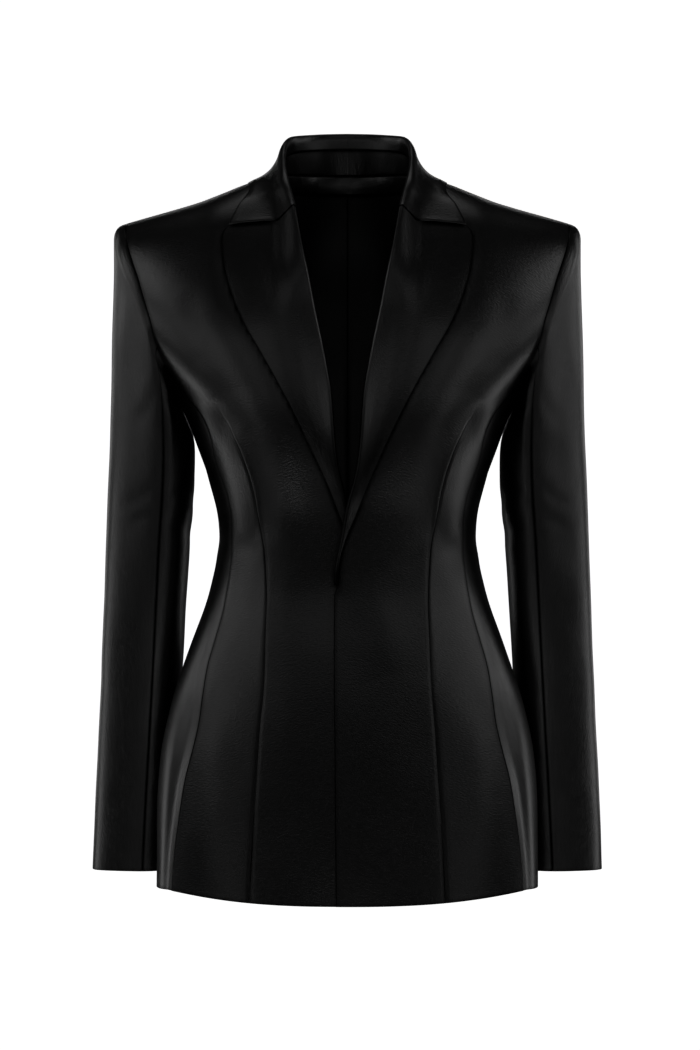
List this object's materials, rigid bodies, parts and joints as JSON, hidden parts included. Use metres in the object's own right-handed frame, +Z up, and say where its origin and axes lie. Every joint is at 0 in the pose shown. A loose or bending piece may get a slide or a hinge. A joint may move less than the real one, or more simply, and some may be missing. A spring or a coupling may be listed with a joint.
{
  "type": "single breasted blazer",
  "caption": "Fitted hip-length blazer in black satin, worn form with open neck, sleeves and hem, notched collar, wide lapels to a low closure, long darts and princess seams",
  "frame": {"origin": "Middle of the neck, at the height where the shoulder seams meet the collar: where the wearer's neck and shoulders hold the blazer up", "axes": "+X to the wearer's left, -Y to the front, +Z up"},
  "size_m": [0.4886, 0.2418, 0.7298],
  "materials": {
    "satin": "heavy black satin with a soft broad sheen",
    "lining": "thin black lining, smooth and dull"
  },
  "bodies": {
    "root": {"front_left": "satin", "front_right": "satin", "side_left": "satin", "side_right": "satin", "back_left": "satin", "back_right": "satin", "lapel_left": "satin", "lapel_right": "satin", "collar": "satin", "collar_stand": "satin", "neck_facing": "satin", "lining_left": "lining", "lining_right": "lining", "sleeve_top_left": "satin", "sleeve_top_right": "satin", "sleeve_under_left": "satin", "sleeve_under_right": "satin"}
  },
  "joints": []
}
